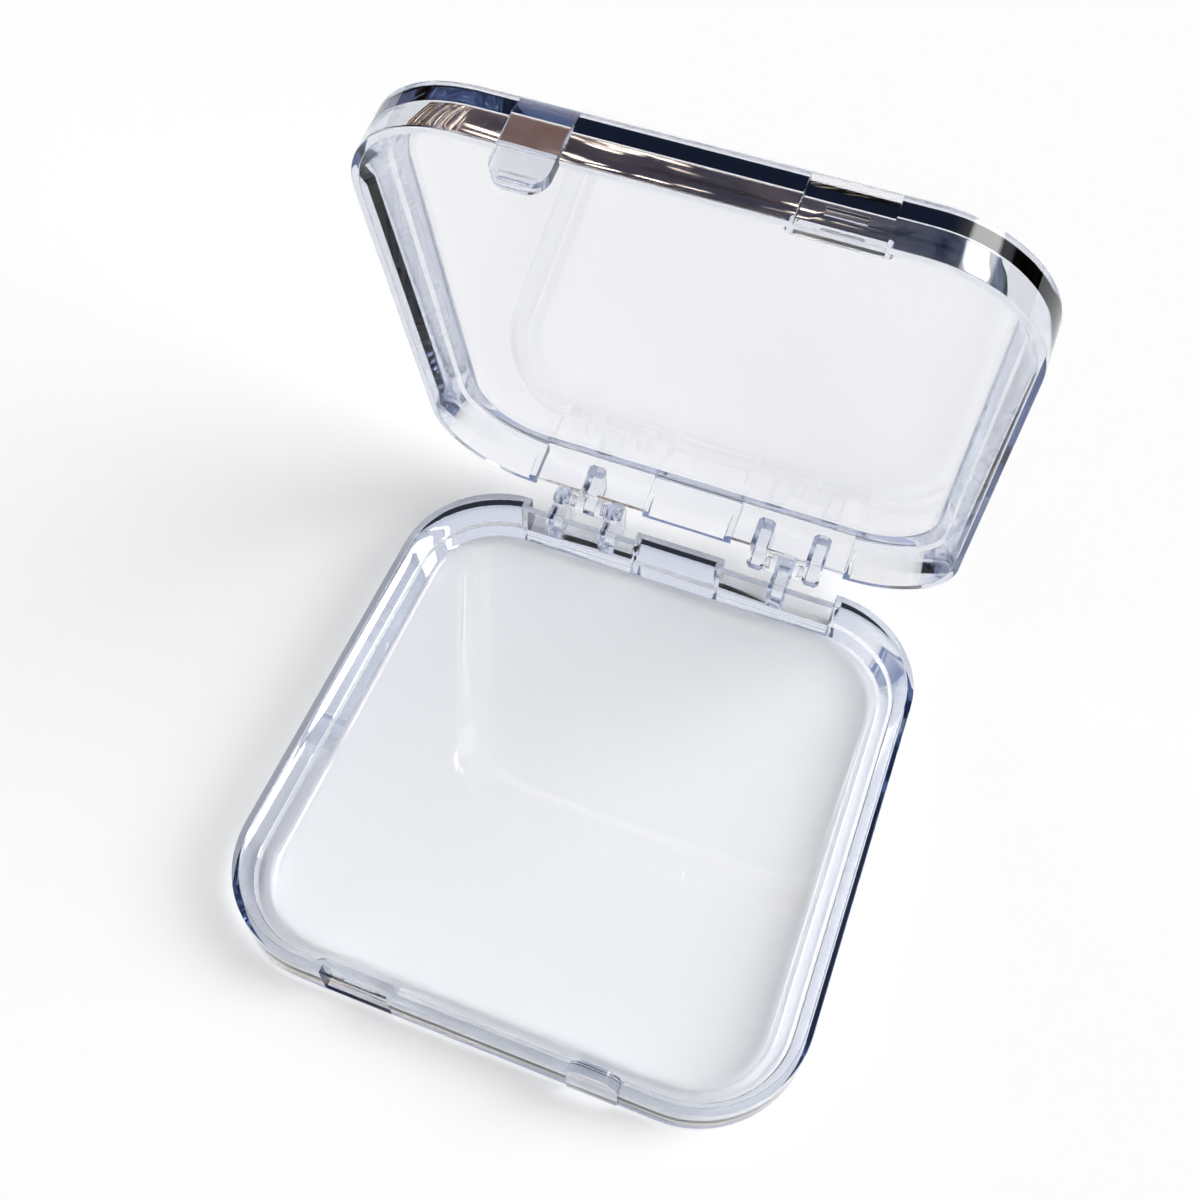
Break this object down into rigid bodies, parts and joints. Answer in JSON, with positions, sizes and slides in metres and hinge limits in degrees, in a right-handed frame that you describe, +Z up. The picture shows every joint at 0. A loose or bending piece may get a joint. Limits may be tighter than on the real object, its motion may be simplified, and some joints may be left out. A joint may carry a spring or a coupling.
{
  "type": "hinged clear plastic case",
  "caption": "Square clear plastic case with rounded corners: shallow base tray and matching lid on snap hinges, with tongue latches.",
  "frame": {"origin": "centre of the base's flat underside", "axes": "+Z up out of the base tray, +Y towards the hinge, +X to the right seen from the latch side"},
  "size_m": [0.095, 0.1057, 0.1054],
  "materials": {
    "clear_plastic": "clear polished moulding"
  },
  "bodies": {
    "base": {"base_shell": "clear_plastic"},
    "lid": {"lid_shell": "clear_plastic"}
  },
  "joints": [
    {"name": "lid_hinge", "type": "hinge", "parent": "base", "child": "lid", "pos_m": [0, 0.0498, 0.00828], "axis": [-1, 0, 0], "range_deg": [-78, 102]}
  ]
}
